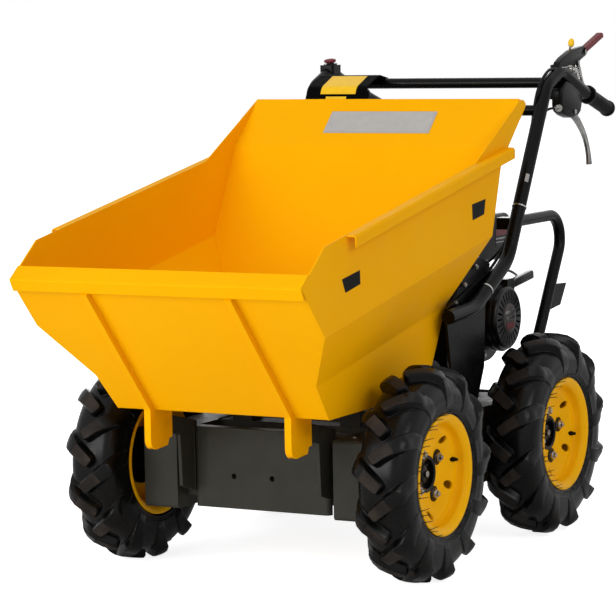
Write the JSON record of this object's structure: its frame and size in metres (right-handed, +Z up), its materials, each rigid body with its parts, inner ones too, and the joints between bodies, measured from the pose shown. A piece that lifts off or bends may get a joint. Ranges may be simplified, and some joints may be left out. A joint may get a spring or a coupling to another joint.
{
  "type": "walk-behind site dumper",
  "caption": "Walk-behind site dumper: lugged wheels on chain cases, a forward-tipping folded steel skip, an engine behind it and two bent handlebars.",
  "frame": {"origin": "on the ground, at the middle of the machine's length and width", "axes": "+Z up, front (skip) at -Y, handlebars at +Y, +X is the machine's left"},
  "size_m": [0.736, 1.4603, 1.0157],
  "materials": {
    "skip_yellow": "semi-gloss yellow-orange powder coat",
    "rim_yellow": "semi-gloss yellow-orange powder coat",
    "frame_grey": "semi-gloss dark grey powder coat",
    "tyre_black": "matt, deep tread",
    "hub_black": "satin black",
    "pin_steel": "satin",
    "pad_rubber": "matt",
    "gear_alloy": "as cast",
    "engine_black": "satin black",
    "engine_plastic": "semi-gloss",
    "tank_grey": "satin dark grey",
    "silencer_steel": "satin",
    "tube_black": "semi-gloss black powder coat",
    "grip_rubber": "matt",
    "console_black": "satin black",
    "control_black": "matt",
    "lever_silver": "satin",
    "grip_red": "matt dark red"
  },
  "bodies": {
    "chassis": {"chain_cases": "frame_grey", "front_plate": "frame_grey", "cross_members": "frame_grey", "rear_plate": "frame_grey", "pivot_ears": "frame_grey", "engine_bed": "frame_grey", "rest_pads": "pad_rubber", "pivot_pins": "pin_steel", "gearbox": "gear_alloy", "engine_block": "engine_black", "recoil_shroud": "engine_plastic", "fuel_tank": "tank_grey", "air_filter": "engine_plastic", "muffler": "silencer_steel", "belt_guard": "frame_grey", "starter_grip": "engine_plastic", "handle_tubes": "tube_black", "crossbars": "tube_black", "grips": "grip_rubber", "handle_posts": "frame_grey", "rear_guards": "tube_black", "guard_plate": "tube_black", "console": "console_black", "switch_housing": "control_black", "control_housing": "control_black", "hand_lever": "lever_silver", "tip_lever": "lever_silver", "tip_lever_grip": "grip_red"},
    "skip": {"skip_side_left": "skip_yellow", "skip_side_right": "skip_yellow", "skip_tray": "skip_yellow", "skip_front_rim": "skip_yellow", "skip_ribs": "skip_yellow"},
    "wheel_front_left": {"tyre_front_left": "tyre_black", "rim_front_left": "rim_yellow", "hub_front_left": "hub_black"},
    "wheel_front_right": {"tyre_front_right": "tyre_black", "rim_front_right": "rim_yellow", "hub_front_right": "hub_black"},
    "wheel_rear_left": {"tyre_rear_left": "tyre_black", "rim_rear_left": "rim_yellow", "hub_rear_left": "hub_black"},
    "wheel_rear_right": {"tyre_rear_right": "tyre_black", "rim_rear_right": "rim_yellow", "hub_rear_right": "hub_black"}
  },
  "joints": [
    {"name": "skip_tip", "type": "hinge", "parent": "chassis", "child": "skip", "pos_m": [0, -0.455, 0.3], "axis": [1, 0, 0], "range_deg": [0, 80]},
    {"name": "wheel_front_left_spin", "type": "hinge", "parent": "chassis", "child": "wheel_front_left", "pos_m": [0.313, -0.286, 0.205], "axis": [1, 0, 0], "continuous": true},
    {"name": "wheel_front_right_spin", "type": "hinge", "parent": "chassis", "child": "wheel_front_right", "pos_m": [-0.313, -0.286, 0.205], "axis": [1, 0, 0], "continuous": true},
    {"name": "wheel_rear_left_spin", "type": "hinge", "parent": "chassis", "child": "wheel_rear_left", "pos_m": [0.313, 0.274, 0.205], "axis": [1, 0, 0], "continuous": true},
    {"name": "wheel_rear_right_spin", "type": "hinge", "parent": "chassis", "child": "wheel_rear_right", "pos_m": [-0.313, 0.274, 0.205], "axis": [1, 0, 0], "continuous": true}
  ]
}
